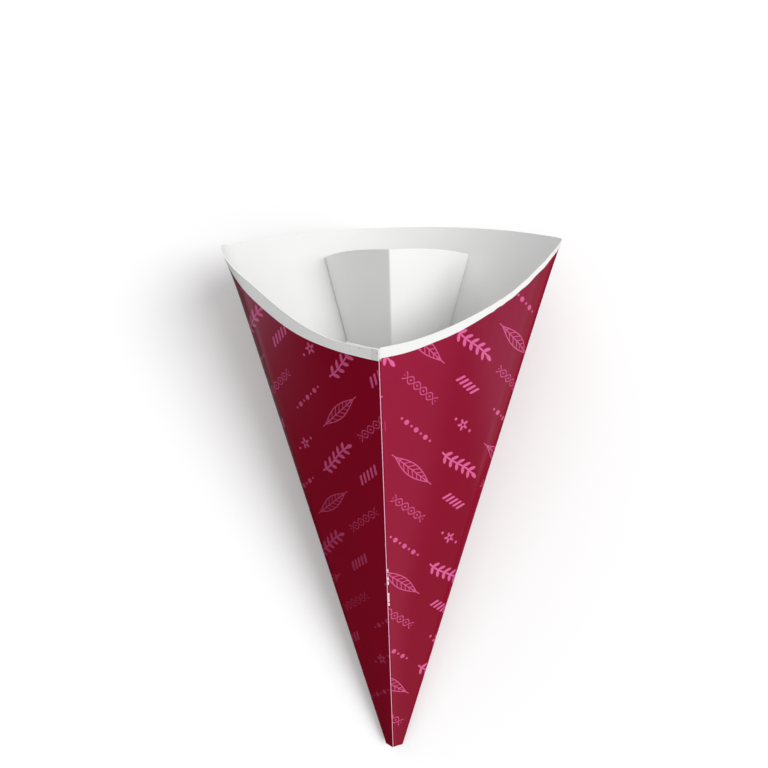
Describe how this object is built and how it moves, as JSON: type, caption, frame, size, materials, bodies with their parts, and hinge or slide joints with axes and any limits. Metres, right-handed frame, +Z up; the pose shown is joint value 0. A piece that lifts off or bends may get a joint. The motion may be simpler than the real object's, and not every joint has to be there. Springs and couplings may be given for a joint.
{
  "type": "paper fry cone",
  "caption": "Folded paperboard cone for fries and small fried snacks, with a low front rim and a glued divider that holds a sauce cup.",
  "frame": {"origin": "on the surface the cone lies on, under the middle of its bounding box", "axes": "+Y along the cone towards its mouth, +Z up out of the front crease, +X to the right seen from above with the mouth away"},
  "size_m": [0.1418, 0.2424, 0.0855],
  "materials": {
    "printed_board": "glossy crimson print outside, plain white inside and on the rim band",
    "white_board": "matt white"
  },
  "bodies": {
    "root": {"cone_sleeve": "printed_board", "sauce_divider": "white_board"}
  },
  "joints": []
}
